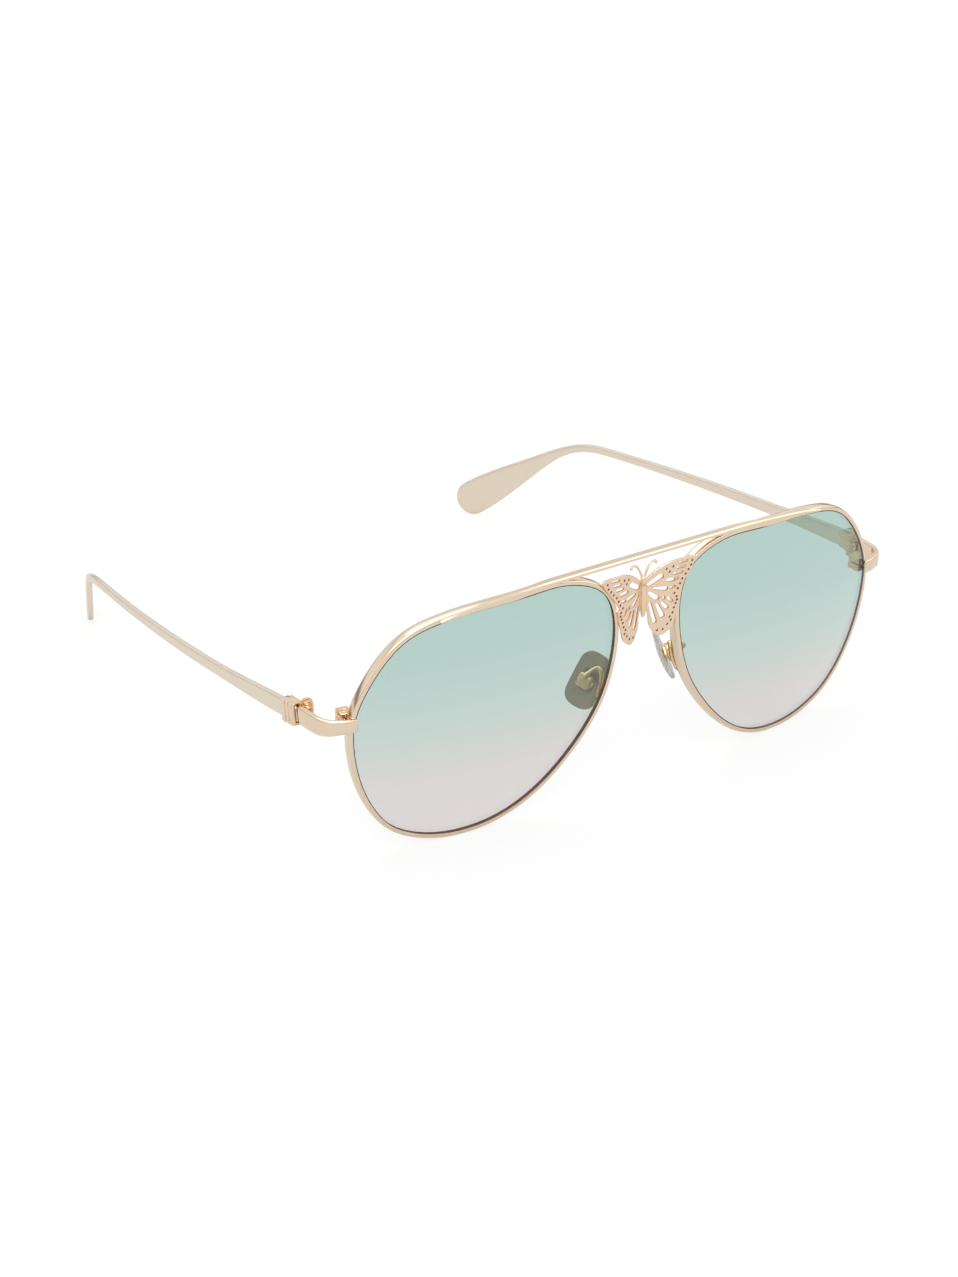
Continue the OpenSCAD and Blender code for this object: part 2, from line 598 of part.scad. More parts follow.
module collar() {
    wall = collar_t + seat;
    tall = temple_h + 2 * wall;
    seam_frame() rotate([-temple_dip, 0, 0]) translate([0, 4 * slide, 0]) {
        difference() {
            translate([-band_t / 2, 0, -tall / 2]) cube([band_t + wall, collar_l, tall]);
            translate([-band_t - seat, -over, -temple_h / 2 - seat])
                cube([band_t * 1.5 + 2 * seat, collar_l + 2 * over, temple_h + 2 * seat]);
        }
        for (k = [0 : rib_n - 1]) translate([band_t / 2 + wall, collar_l * (k + 0.6) / (rib_n + 0.5), -tall / 2])
            cylinder(h = tall, r = collar_t / 1.6);
    }
}

module collar_left() { color(gold) collar(); }
module collar_right() { color(gold) right() collar(); }

// Nose pads, in the pad's frame: -y faces forward and out, z runs up the pad
pad_c = [pad_spacing / 2, lens_c.y + rim_meet.y + pad_back, lens_up - pad_down];
tab_w = box_w - 2 * box_wall - 2 * slide;
box_y = -pad_t / 2 - pad_clear;
tab_r = box_d / 2 - box_wall - slide;
pin_y = box_y - box_d / 2;
insert_t = pad_t / 4;
module pad_frame() translate(pad_c) rotate([0, 0, pad_splay]) rotate([-pad_lean, 0, 0]) rotate([0, -pad_roll, 0]) children();
function in_pad(p) = pad_c + turn_z(turn_x(turn_y(p, -pad_roll), -pad_lean), pad_splay);

corner_steps = 4;
function round_corner(x, y, r, a) = [for (k = [0 : corner_steps])
    let (t = a + 90 * k / corner_steps) [x + r * cos(t), y + r * sin(t)]];
function rounded(w, h, r) = concat(round_corner(w / 2 - r, h / 2 - r, r, 0), round_corner(r - w / 2, h / 2 - r, r, 90),
    round_corner(r - w / 2, r - h / 2, r, 180), round_corner(w / 2 - r, r - h / 2, r, 270));

module pad_insert(grow) {
    rotate([90, 0, 0]) translate([0, 0, -insert_t / 2 - grow]) linear_extrude(insert_t + 2 * grow)
        polygon(rounded(pad_w / 2 + 2 * grow, pad_l / 2.6 + 2 * grow, pad_w / 8));
    translate([-tab_w / 2 - grow, pin_y, -tab_r - grow]) cube([tab_w + 2 * grow, -pin_y, 2 * (tab_r + grow)]);
}

module pad_mount() {
    pad_frame() difference() {
        union() {
            pad_insert(0);
            translate([-tab_w / 2, pin_y, 0]) rotate([0, 90, 0]) cylinder(h = tab_w, r = tab_r);
        }
        translate([-box_w, pin_y, 0]) rotate([0, 90, 0]) cylinder(h = 2 * box_w, r = pad_pin_r + running);
    }
}

module pad_mount_left() { color(screw_gold) pad_mount(); }
module pad_mount_right() { color(screw_gold) right() pad_mount(); }

module nose_pad() {
    dome_r = pad_l * 2;
    pad_frame() difference() {
        intersection() {
            rotate([90, 0, 0]) translate([0, 0, -pad_t / 2]) linear_extrude(pad_t)
                polygon(rounded(pad_w, pad_l, pad_w / 2.6));
            translate([0, pad_t / 2 - dome_r, 0]) sphere(dome_r, $fn = 240);
        }
        pad_insert(seat);
    }
}

module nose_pad_left() { color(pad_grey) nose_pad(); }
module nose_pad_right() { color(pad_grey) right() nose_pad(); }

module pad_box() {
    pad_frame() difference() {
        translate([-box_w / 2, box_y - box_d, -box_w / 2]) cube([box_w, box_d, box_w]);
        translate([box_wall - box_w / 2, box_y - box_d + box_wall, box_wall - box_w / 2])
            cube([box_w - 2 * box_wall, box_d + over, box_w - 2 * box_wall]);
        translate([-box_w, pin_y, 0]) rotate([0, 90, 0]) cylinder(h = 2 * box_w, r = pad_pin_r + seat);
    }
}

module pad_box_left() { color(screw_gold) pad_box(); }
module pad_box_right() { color(screw_gold) right() pad_box(); }

module pad_screw() {
    head = pad_pin_r;
    pad_frame() translate([-box_w / 2 - head - seat, pin_y, 0]) rotate([0, 90, 0]) {
        cylinder(h = head, r = pad_pin_r * 1.8);
        cylinder(h = box_w + head + seat, r = pad_pin_r);
    }
}

module pad_screw_left() { color(screw_gold) pad_screw(); }
module pad_screw_right() { color(screw_gold) right() pad_screw(); }

// Pad arms: a wire from the back of the rim, up, over in a loop and down to the
// box. Points are shares of the lean in, of the way back to the box and of the rise.
arm_share = 0.547;
arm_i = round(arm_share * ring_n);
arm_shares = [[-0.2, 0.27, 0.12], [-0.75, 0.33, 0.42], [-1.05, 0.38, 0.75], [-0.95, 0.55, 0.96], [-0.45, 0.8, 0.95]];

module pad_arm() {
    root = placed(rim_at(arm_i, rim_w / 2, -rim_d - 2 * seat));
    box_top = in_pad([0, box_y - box_d - 3 * seat, box_w / 4]);
    landing = in_pad([0, box_y - box_d - 2 * arm_r, box_w / 3]);
    route = concat([root, placed(rim_at(arm_i, rim_w / 2, -rim_d - arm_r))], [for (s = arm_shares)
        root + [s.x * arm_in, s.y * (box_top.y - root.y), s.z * arm_rise]], [landing, box_top]);
    skin(wire_rows(open_curve(route, 3), arm_r, 8));
}

module pad_arm_left() { color(gold) pad_arm(); }
module pad_arm_right() { color(gold) right() pad_arm(); }

rim_left();
rim_right();
lens_left();
lens_right();
brow_bar();
butterfly_bridge();
end_piece_left();
end_piece_right();
rim_lock_upper_left();
rim_lock_upper_right();
rim_lock_lower_left();
rim_lock_lower_right();
rim_lock_screw_left();
rim_lock_screw_right();
front_hinge_left();
front_hinge_right();
temple_hinge_left();
temple_hinge_right();
hinge_screw_left();
hinge_screw_right();
temple_left();
temple_right();
collar_left();
collar_right();
pad_arm_left();
pad_arm_right();
pad_box_left();
pad_box_right();
pad_screw_left();
pad_screw_right();
pad_mount_left();
pad_mount_right();
nose_pad_left();
nose_pad_right();
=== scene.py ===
# Sunglasses with an openwork butterfly bridge: finish, light and camera around the CAD frame
from math import atan2, cos, pi, radians, sin, tan

import bmesh
import bpy
import numpy as np
from mathutils import Matrix, Vector

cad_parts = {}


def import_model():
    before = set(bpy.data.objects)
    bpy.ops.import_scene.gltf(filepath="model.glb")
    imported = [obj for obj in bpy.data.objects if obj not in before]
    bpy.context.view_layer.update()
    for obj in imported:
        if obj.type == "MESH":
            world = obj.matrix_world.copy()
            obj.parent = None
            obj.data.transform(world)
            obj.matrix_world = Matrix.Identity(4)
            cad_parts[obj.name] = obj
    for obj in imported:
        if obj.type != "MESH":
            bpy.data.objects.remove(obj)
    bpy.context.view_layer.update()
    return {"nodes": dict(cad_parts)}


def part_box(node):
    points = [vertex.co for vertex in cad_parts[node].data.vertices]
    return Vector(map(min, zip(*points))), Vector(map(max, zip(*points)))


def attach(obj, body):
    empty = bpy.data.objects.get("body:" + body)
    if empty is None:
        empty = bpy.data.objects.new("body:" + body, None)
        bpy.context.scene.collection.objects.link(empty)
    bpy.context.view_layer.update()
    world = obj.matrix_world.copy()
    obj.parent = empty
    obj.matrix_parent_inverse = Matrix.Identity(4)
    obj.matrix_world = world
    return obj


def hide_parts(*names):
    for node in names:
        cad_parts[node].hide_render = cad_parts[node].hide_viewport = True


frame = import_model()

# Lengths that end in _MM are in millimetres and angles are in degrees, until a call needs metres or radians
MM = 0.001
SIDES = ("left", "right")
NODES = frame["nodes"]


# Outputs of shader nodes that are asked for by number
OBJECT_COORDS, WORLD_WAY = 3, 0
CAMERA_RAY, GLOSSY_RAY, TRANSMISSION_RAY = 0, 3, 6
ATTRIBUTE_SHARE = 2
COLOUR_RESULT = 2
LENGTH_RESULT = 1

WHITE = (1, 1, 1, 1)


# Shader maths: a wire is one socket, and an expression on wires adds its Math nodes
class Wire:
    def __init__(self, recipe, socket):
        self.recipe, self.socket = recipe, socket

    def maths(self, operation, *values):
        return self.recipe.node("ShaderNodeMath", {"operation": operation}, *values)[0]

    def __add__(self, other): return self.maths("ADD", self, other)
    def __sub__(self, other): return self.maths("SUBTRACT", self, other)
    def __rsub__(self, other): return self.maths("SUBTRACT", other, self)
    def __mul__(self, other): return self.maths("MULTIPLY", self, other)
    def __rmul__(self, other): return self.maths("MULTIPLY", other, self)
    def __truediv__(self, other): return self.maths("DIVIDE", self, other)

    def at_least(self, other): return self.maths("MAXIMUM", self, other)


class Recipe:
    """A material or world whose nodes are made by one method."""

    def __init__(self, owner):
        owner.use_nodes = True
        self.owner, self.tree = owner, owner.node_tree
        self.tree.nodes.clear()

    def node(self, kind, settings, *values, **named):
        """Add a node, set or link its inputs by order and by name, and return its outputs."""
        made = self.tree.nodes.new(kind)
        for key, value in settings.items():
            if key == "stops":
                while len(made.color_ramp.elements) < len(value):
                    made.color_ramp.elements.new(1)
                for element, (place, colour) in zip(made.color_ramp.elements, value):
                    element.position, element.color = place, colour
            else:
                setattr(made, key, value)
        inputs = list(zip(made.inputs, values))
        inputs += [(made.inputs[key.replace("_", " ")], value) for key, value in named.items()]
        for socket, value in inputs:
            if isinstance(value, Wire):
                self.tree.links.new(value.socket, socket)
            elif value is not None:
                socket.default_value = value
        return [Wire(self, socket) for socket in made.outputs]

    def place(self):
        return self.node("ShaderNodeTexCoord", {})[OBJECT_COORDS]

    def attribute(self, name):
        return self.node("ShaderNodeAttribute", {"attribute_name": name})[ATTRIBUTE_SHARE]

    def parts(self, vector):
        return self.node("ShaderNodeSeparateXYZ", {}, vector)

    def noise(self, vector, scale, detail=2.0):
        return self.node("ShaderNodeTexNoise", {}, vector, Scale=scale, Detail=detail)[0]

    def between(self, share, low, high):
        return self.node("ShaderNodeMapRange", {}, share, 0.0, 1.0, low, high)[0]

    def mixed(self, share, a, b):
        numbers_and_vectors = [None] * 5
        return self.node("ShaderNodeMix", {"data_type": "RGBA"}, share, *numbers_and_vectors, a, b)[COLOUR_RESULT]

    def surface(self, shader):
        world = isinstance(self.owner, bpy.types.World)
        self.node("ShaderNodeOutputWorld" if world else "ShaderNodeOutputMaterial", {}, shader)
        return self.owner


def grey(level):
    return (level, level, level, 1)


# Metals: plated and polished, with a faint grain from the buffing wheel and slow drifts of colour
DRIFT_SCALE, DRIFT_DETAIL = 140.0, 3.0
GRAIN_STRETCH = 6.0
GRAIN_PART = 0.6
ROUGH_RANGE = (0.75, 1.35)
GRAIN_DEPTH_MM = 0.02


def metal(name, light, dark, roughness, grain_mm=0.35, relief=0.02, inner_painted_shade=None):
    recipe = Recipe(bpy.data.materials.new(name))
    place = recipe.place()
    drift = recipe.noise(place, DRIFT_SCALE, DRIFT_DETAIL)
    grain = recipe.noise(place, 1 / (grain_mm * MM))
    stretched = recipe.node("ShaderNodeMapping", {}, place, Scale=(1.0, 1.0, GRAIN_STRETCH))[0]
    brushed = recipe.noise(stretched, 1 / (grain_mm * MM))
    colour = recipe.mixed(drift, (*dark, 1), (*light, 1))
    # Painted shade: faces marked as turned to the lens darken to this colour.
    if inner_painted_shade:
        colour = recipe.mixed(recipe.attribute("inward"), colour, (*inner_painted_shade, 1))
    wear = grain * GRAIN_PART + drift * (1 - GRAIN_PART)
    rough = recipe.between(wear, *(roughness * part for part in ROUGH_RANGE))
    bump = recipe.node("ShaderNodeBump", {}, Strength=relief, Distance=GRAIN_DEPTH_MM * MM, Height=brushed)[0]
    return recipe.surface(recipe.node("ShaderNodeBsdfPrincipled", {}, Base_Color=colour, Metallic=1.0,
                                      Roughness=rough, Normal=bump)[0])


ROSE_GOLD = metal("rose_gold", (0.9, 0.74, 0.565), (0.85, 0.69, 0.52), 0.14)
# The rim gets painted shade, dark brown, on the walls that turn to its lens: the shade there and the dark they
# reflect.
RIM_GOLD = metal("rim_gold", (0.9, 0.74, 0.565), (0.85, 0.69, 0.52), 0.14, inner_painted_shade=(0.24, 0.12, 0.06))
BUTTERFLY_GOLD = metal("butterfly_gold", (0.93, 0.735, 0.545), (0.89, 0.69, 0.5), 0.2)
CHAMPAGNE = metal("champagne_gold", (0.895, 0.79, 0.65), (0.855, 0.745, 0.6), 0.28, relief=0.05)
RED_GOLD = metal("red_gold", (0.92, 0.66, 0.43), (0.86, 0.58, 0.36), 0.12)
PAD_GOLD = metal("pad_gold", (0.88, 0.63, 0.38), (0.8, 0.53, 0.29), 0.07)
BOX_GOLD = metal("box_gold", (0.86, 0.6, 0.34), (0.76, 0.48, 0.25), 0.06)
# Painted shade: darker, redder golds for the walls inside the butterfly's cells, darkest inside its dots, where the
# holes lie in shade.
CELL_WALL_SHADE = metal("cell_wall_painted_shade", (0.74, 0.4, 0.21), (0.6, 0.3, 0.15), 0.3)
DOT_WALL_SHADE = metal("dot_wall_painted_shade", (0.42, 0.17, 0.08), (0.34, 0.13, 0.06), 0.4)


# Lens: one tint that fades from teal at the top to a pale pinkish grey, and a ground edge painted dark brown as
# shade.
# The tilt, a share for each metre, deepens it toward the left lens's outer side.
TINT_TILT = 2.6
TINT_CLOUD_SCALE, TINT_CLOUD = 60.0, 0.03
NOISE_MIDDLE = 0.5
LENS_IOR = 1.6
EDGE_SHADE_COLOURS = ((0.1, 0.03, 0.005, 1), (0.17, 0.055, 0.01, 1))
EDGE_CLOUD_SCALE = 900.0
EDGE_ROUGHNESS = 0.55
TINT_STOPS = [(0.0, (0.768, 0.72, 0.714, 1)), (0.28, (0.704, 0.682, 0.67, 1)), (0.5, (0.56, 0.655, 0.62, 1)),
              (0.78, (0.455, 0.61, 0.57, 1)), (1.0, (0.43, 0.6, 0.555, 1))]


def lens_tint():
    recipe = Recipe(bpy.data.materials.new("gradient_lens"))
    low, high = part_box("lens_left")
    across, _, height = recipe.parts(recipe.place())
    cloud = (recipe.noise(recipe.place(), TINT_CLOUD_SCALE) - NOISE_MIDDLE) * TINT_CLOUD
    share = (height - low.z) / (high.z - low.z) + across.at_least(0) * TINT_TILT + cloud
    tint = recipe.node("ShaderNodeValToRGB", {"stops": TINT_STOPS}, share)[0]
    glass = recipe.node("ShaderNodeBsdfPrincipled", {}, Base_Color=tint, Roughness=0.0, IOR=LENS_IOR,
                        Transmission_Weight=1.0)[0]
    return recipe.surface(glass)


# The lens's edge band: painted shade, dark brown, for the shaded inner wall of the rim and the dark gap round the
# lens.
def lens_edge_shade():
    recipe = Recipe(bpy.data.materials.new("lens_edge_painted_shade"))
    colour = recipe.mixed(recipe.noise(recipe.place(), EDGE_CLOUD_SCALE), *EDGE_SHADE_COLOURS)
    return recipe.surface(recipe.node("ShaderNodeBsdfPrincipled", {}, Base_Color=colour,
                                      Roughness=EDGE_ROUGHNESS)[0])


# Nose pads: soft clear silicone, slightly yellowed and hazy, and darker on the side that faces the pad box
SILICONE_BOX_SIDE = ((0.37, 0.29, 0.15, 1), (0.43, 0.34, 0.19, 1))
SILICONE_CLEAR = ((0.72, 0.72, 0.65, 1), (0.8, 0.8, 0.74, 1))
SILICONE_CLOUD_SCALE = 300.0
SILICONE_ROUGH = (0.2, 0.3)
SILICONE_IOR = 1.45


def silicone():
    recipe = Recipe(bpy.data.materials.new("clear_silicone"))
    cloud = recipe.noise(recipe.place(), SILICONE_CLOUD_SCALE)
    box_side, clear = recipe.mixed(cloud, *SILICONE_BOX_SIDE), recipe.mixed(cloud, *SILICONE_CLEAR)
    colour = recipe.mixed(recipe.attribute("backed"), clear, box_side)
    return recipe.surface(recipe.node("ShaderNodeBsdfPrincipled", {}, Base_Color=colour, IOR=SILICONE_IOR,
                                      Roughness=recipe.between(cloud, *SILICONE_ROUGH), Transmission_Weight=0.5,
                                      Coat_Weight=0.6, Coat_Roughness=0.08)[0])


GRADIENT_LENS = lens_tint()
LENS_EDGE_SHADE = lens_edge_shade()
CLEAR_SILICONE = silicone()


# Mesh tools
MERGE_MM = 0.001
QUAD_BEND, QUAD_SKEW = 4, 80


def linked(name, data):
    piece = bpy.data.objects.new(name, data)
    bpy.context.scene.collection.objects.link(piece)
    return piece


def only(piece):
    """Make a piece the one that an edit works on."""
    bpy.ops.object.select_all(action="DESELECT")
    piece.select_set(True)
    bpy.context.view_layer.objects.active = piece


def modified(piece, kind, **settings):
    only(piece)
    modifier = piece.modifiers.new(kind, kind)
    for key, value in settings.items():
        setattr(modifier, key, value)
    bpy.ops.object.modifier_apply(modifier=modifier.name)


def bevelled(piece, width_mm, segments=3, angle=30):
    modified(piece, "BEVEL", width=width_mm * MM, segments=segments, limit_method="ANGLE",
             angle_limit=radians(angle), harden_normals=False, use_clamp_overlap=True)


def rounded(piece, levels):
    modified(piece, "SUBSURF", levels=levels, render_levels=levels)


def smooth(piece, angle=None):
    """Shade a piece smooth, and keep any edge that bends by more than the angle."""
    only(piece)
    if angle is None:
        bpy.ops.object.shade_smooth()
    else:
        bpy.ops.object.shade_smooth_by_angle(angle=radians(angle))


def traced(node, name, quads=True, flat=None):
    """A merged copy of a CAD node's mesh, to be shaped further."""
    piece = linked(name, NODES[node].data.copy())
    piece.data.materials.clear()
    only(piece)
    bpy.ops.object.mode_set(mode="EDIT")
    bpy.ops.mesh.select_all(action="SELECT")
    bpy.ops.mesh.customdata_custom_splitnormals_clear()
    bpy.ops.mesh.remove_doubles(threshold=MERGE_MM * MM)
    if flat is not None:
        bpy.ops.mesh.dissolve_limited(angle_limit=radians(flat))
    elif quads:
        bpy.ops.mesh.tris_convert_to_quads(face_threshold=radians(QUAD_BEND), shape_threshold=radians(QUAD_SKEW))
    bpy.ops.object.mode_set(mode="OBJECT")
    return piece


def middle(box):
    return (box[0] + box[1]) / 2


def mark(piece, name, share):
    """Store a share from 0 to 1 on each vertex, which a material reads."""
    marks = piece.data.attributes.new(name, "FLOAT", "POINT")
    marks.data.foreach_set("value", [min(max(share(v), 0), 1) for v in piece.data.vertices])


def moving_with(body, side):
    """The name of a body: the front is one, and the temples and pads have one on each side."""
    return body if body == "front" else f"{body}_{side}"


def dressed(piece, material, body, slot, *nodes):
    """Hand a piece over in place of its CAD nodes. Without a material it keeps its own."""
    if material:
        piece.data.materials.clear()
        piece.data.materials.append(material)
    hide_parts(*nodes)
    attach(piece, body)
    return piece


# Rims, brow bar, end pieces, temples and pad arms: the CAD's own skins, rounded like drawn wire
# How far a rim's face turns across to its lens before it takes the painted shade.
INWARD_FROM, INWARD_TO = 0.4, 0.6
WIRE_WORK = [("rim", RIM_GOLD, "front", "gold"), ("end_piece", ROSE_GOLD, "front", "gold"),
             ("temple", CHAMPAGNE, "temple", "champagne"), ("pad_arm", PAD_GOLD, "front", "gold")]
WIRE_LEVELS = 2
BAR_EDGE_MM = 0.1
BAR_LEVELS = 1


def facing_lens(vertex, centre):
    """How far a rim's surface turns to its lens, where the metal gets painted shade, dark brown."""
    across = vertex.normal * Vector((1, 0, 1))
    return (across.length - INWARD_FROM) / (INWARD_TO - INWARD_FROM) if across.dot(centre - vertex.co) > 0 else 0


def wire_work():
    for side in SIDES:
        for stem, material, body, slot in WIRE_WORK:
            node = f"{stem}_{side}"
            piece = traced(node, "shaped_" + node)
            rounded(piece, WIRE_LEVELS)
            smooth(piece)
            if stem == "rim":
                centre = middle(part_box("lens_" + side))
                # Painted shade on the rim's walls that turn to the lens.
                mark(piece, "inward", lambda v: facing_lens(v, centre))
            dressed(piece, material, moving_with(body, side), slot, node)
    bar = traced("brow_bar", "shaped_brow_bar")
    bevelled(bar, BAR_EDGE_MM)
    rounded(bar, BAR_LEVELS)
    smooth(bar)
    dressed(bar, ROSE_GOLD, "front", "gold", "brow_bar")


# Small hardware: the CAD's own solids with their edges broken, by the width in millimetres that ends each row.
# The pad boxes are redrawn, and the pads are rounded all over.
HARDWARE = [("rim_lock_upper", RED_GOLD, "front", "gold", 0.15),
            ("rim_lock_lower", RED_GOLD, "front", "gold", 0.15),
            ("rim_lock_screw", RED_GOLD, "front", "hardware", 0.1),
            ("front_hinge", RED_GOLD, "front", "hardware", 0.12),
            ("temple_hinge", RED_GOLD, "temple", "hardware", 0.12),
            ("hinge_screw", RED_GOLD, "front", "hardware", 0.1),
            ("collar", ROSE_GOLD, "temple", "gold", 0.1),
            ("pad_box", BOX_GOLD, "front", "hardware", 0.06),
            ("pad_screw", PAD_GOLD, "front", "hardware", 0.08),
            ("pad_mount", PAD_GOLD, "pad", "hardware", 0.06),
            ("nose_pad", CLEAR_SILICONE, "pad", "pad", 0.3)]
FLAT_WITHIN = 1
HARDWARE_SHARP = 35
PAD_LEVELS = 2
BACK_FROM, BACK_TO = 0.75, 0.92
BOX_WALL_MM = 0.4
PILLOW_MM = 0.8
PILLOW_SEGMENTS = 6
PILLOW_PROFILE = 0.5


def pillowed(piece, outward):
    """Redraw a box as an open shell with a rounded back and rounded corners."""
    shape = bmesh.new()
    shape.from_mesh(piece.data)
    shape.normal_update()
    back = max(shape.faces, key=lambda face: face.normal.dot(outward) * face.calc_area())
    normal, corners = back.normal.copy(), [v.co.copy() for v in back.verts]
    depth = max((corners[0] - v.co).dot(normal) for v in shape.verts)
    shape.clear()
    near = [shape.verts.new(spot) for spot in corners]
    far = [shape.verts.new(spot - normal * depth) for spot in corners]
    shape.faces.new(near)
    for k in range(len(corners)):
        shape.faces.new((near[k - 1], far[k - 1], far[k], near[k]))
    edges = list({edge for v in near for edge in v.link_edges})
    bmesh.ops.bevel(shape, geom=edges, offset=PILLOW_MM * MM, offset_type="OFFSET", segments=PILLOW_SEGMENTS,
                    profile=PILLOW_PROFILE, affect="EDGES")
    bmesh.ops.recalc_face_normals(shape, faces=shape.faces)
    if max(shape.faces, key=lambda face: face.normal.dot(outward)).normal.dot(normal) < 0:
        bmesh.ops.reverse_faces(shape, faces=shape.faces)
    shape.to_mesh(piece.data)
    shape.free()


def hardware():
    for side in SIDES:
        for stem, material, body, slot, width in HARDWARE:
            node = f"{stem}_{side}"
            piece = traced(node, "shaped_" + node, flat=FLAT_WITHIN)
            if stem == "pad_box":
                pillowed(piece, middle(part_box(node)) - middle(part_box("nose_pad_" + side)))
                modified(piece, "SOLIDIFY", thickness=BOX_WALL_MM * MM, offset=-1)
            bevelled(piece, width, angle=HARDWARE_SHARP)
            if stem == "nose_pad":
                rounded(piece, PAD_LEVELS)
                toward = (middle(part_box("pad_box_" + side)) - middle(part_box(node))).normalized()
                # Mark the side that faces the pad box, which the silicone shows darker.
                mark(piece, "backed", lambda v: (v.normal.dot(toward) - BACK_FROM) / (BACK_TO - BACK_FROM))
            smooth(piece, HARDWARE_SHARP)
            dressed(piece, material, moving_with(body, side), slot, node)


# Lenses: the CAD's shell with its two faces drawn onto their spheres
LENS_CUTS = 3
LENS_SHARP = 30
FACE_NORMAL_SHARE = 0.9
FACE_AREA_MM2 = 1
EDGE_MATERIAL = 1


def least_squares_sphere(points):
    """Centre and radius of the sphere that fits the points best."""
    rows = np.array([[2 * p.x, 2 * p.y, 2 * p.z, 1] for p in points])
    known = np.array([p.length_squared for p in points])
    x, y, z, rest = np.linalg.lstsq(rows, known, rcond=None)[0]
    return Vector((x, y, z)), (rest + x * x + y * y + z * z) ** 0.5


def facing(mesh, way):
    """The faces of a lens that look forward, for a way of -1, or back, for 1."""
    return [f for f in mesh.polygons if f.normal.y * way > FACE_NORMAL_SHARE]


def lens(side):
    piece = traced("lens_" + side, "shaped_lens_" + side, quads=False)
    mesh = piece.data
    spheres = {}
    for way in (-1, 1):
        corners = {v for f in facing(mesh, way) if f.area > FACE_AREA_MM2 * MM * MM for v in f.vertices}
        spheres[way] = least_squares_sphere([mesh.vertices[v].co for v in corners])
    only(piece)
    bpy.ops.object.mode_set(mode="EDIT")
    bpy.ops.mesh.select_all(action="SELECT")
    bpy.ops.mesh.subdivide(number_cuts=LENS_CUTS, smoothness=0)
    bpy.ops.object.mode_set(mode="OBJECT")
    for way, (centre, radius) in spheres.items():
        for v in {v for f in facing(mesh, way) for v in f.vertices}:
            spot = mesh.vertices[v].co
            spot += (spot - centre).normalized() * (radius - (spot - centre).length)
    smooth(piece, LENS_SHARP)
    dressed(piece, GRADIENT_LENS, "front", "lens", "lens_" + side)
    # The edge faces take the painted-shade material.
    mesh.materials.append(LENS_EDGE_SHADE)
    for f in mesh.polygons:
        if abs(f.normal.y) < FACE_NORMAL_SHARE:
            f.material_index = EDGE_MATERIAL


# Butterfly: two pierced wings, a turned body and two hooked antennae.
# Places on a wing are shares of its reach from the middle and of its height. A cell runs from one place to
# another and has a width at each, as a share of the reach. The body's outline is in shares of its radius and
# length, and an antenna's in shares of how far it reaches out and rises.
REACH_MM = 12.15
WING_H_MM = 16.385
WING_T_MM = 0.5
WING_EDGE_MM = 0.08
WING_SWEEP = 18
BEND_MM = 7.29
BEND_BLEND_MM = 2
STRIP_MM = 0.75
WING_OUTLINE = [(0, 0.745), (0.05, 0.775), (0.12, 0.825), (0.2, 0.875), (0.3, 0.922), (0.4, 0.958), (0.52, 0.985),
                (0.66, 0.995), (0.82, 1), (0.93, 0.985), (0.952, 0.939), (0.868, 0.836), (0.779, 0.748),
                (0.686, 0.655), (0.622, 0.575), (0.598, 0.545), (0.628, 0.51), (0.63, 0.46), (0.612, 0.385),
                (0.579, 0.287), (0.555, 0.24), (0.548, 0.2), (0.505, 0.105), (0.4, 0.03), (0.3, 0), (0.215, 0.035),
                (0.15, 0.11), (0.11, 0.2), (0.085, 0.35), (0, 0.5)]
CELLS = [(0.115, 0.71, 0.3, 0.798, 0.08, 0.1), (0.205, 0.645, 0.385, 0.628, 0.05, 0.075),
         (0.12, 0.592, 0.238, 0.515, 0.06, 0.085), (0.125, 0.45, 0.21, 0.2, 0.05, 0.07),
         (0.245, 0.43, 0.335, 0.27, 0.05, 0.085), (0.33, 0.44, 0.405, 0.37, 0.05, 0.065),
         (0.43, 0.5, 0.49, 0.45, 0.045, 0.055), (0.355, 0.52, 0.362, 0.495, 0.035, 0.04),
         (0.425, 0.735, 0.575, 0.74, 0.07, 0.06), (0.535, 0.812, 0.665, 0.816, 0.05, 0.05),
         (0.59, 0.882, 0.72, 0.884, 0.045, 0.045), (0.625, 0.945, 0.765, 0.95, 0.036, 0.036),
         (0.475, 0.632, 0.53, 0.64, 0.045, 0.05)]
CELL_STEPS = 6
DOTS = [(0.87, 0.936), (0.85, 0.875), (0.797, 0.826), (0.74, 0.776), (0.675, 0.725), (0.632, 0.667), (0.592, 0.605),
        (0.53, 0.552), (0.572, 0.502), (0.582, 0.457), (0.559, 0.411), (0.527, 0.357), (0.505, 0.293), (0.455, 0.243),
        (0.478, 0.195), (0.416, 0.147), (0.342, 0.087), (0.247, 0.08), (0.5, 0.912), (0.385, 0.892), (0.44, 0.85)]
DOT_MM = 0.24
DOT_STEPS = 10
OUTLINE_STEPS = 4
WING_EDGE_ROUNDS = 2
WALL_NORMAL_SHARE = 0.75
WALL_FROM_EDGE_MM = 0.16
NEAR_DOT_MM = 0.72
CELL_MATERIAL, DOT_MATERIAL = 1, 2
BUTTERFLY_SHARP = 40
BODY_OUTLINE = [(0, 0), (0.42, 0.02), (0.72, 0.14), (0.95, 0.34), (0.8, 0.52), (1, 0.68), (0.92, 0.79), (0.55, 0.85),
                (0.8, 0.91), (0.68, 0.98), (0, 1)]
BODY_R_MM = 0.85
BODY_L_MM = 9.2
BODY_LOW_SHARE = 0.285
BODY_PROUD_MM = 0.425
BODY_LEVELS = 1
ANTENNA_ROOT_SHARE = 0.9
ANTENNA = [(0.1, 0), (0.17, 0.3), (0.32, 0.6), (0.55, 0.88), (0.8, 1), (0.96, 0.95), (1, 0.8)]
ANTENNA_OUT_MM = 3.1
ANTENNA_RISE_MM = 3.6
ANTENNA_R_MM = 0.23
BEAD_SWELL = 1.25
BEAD_POINTS = 3
WIRE_ROUNDS = 3
TURN_STEPS = 20
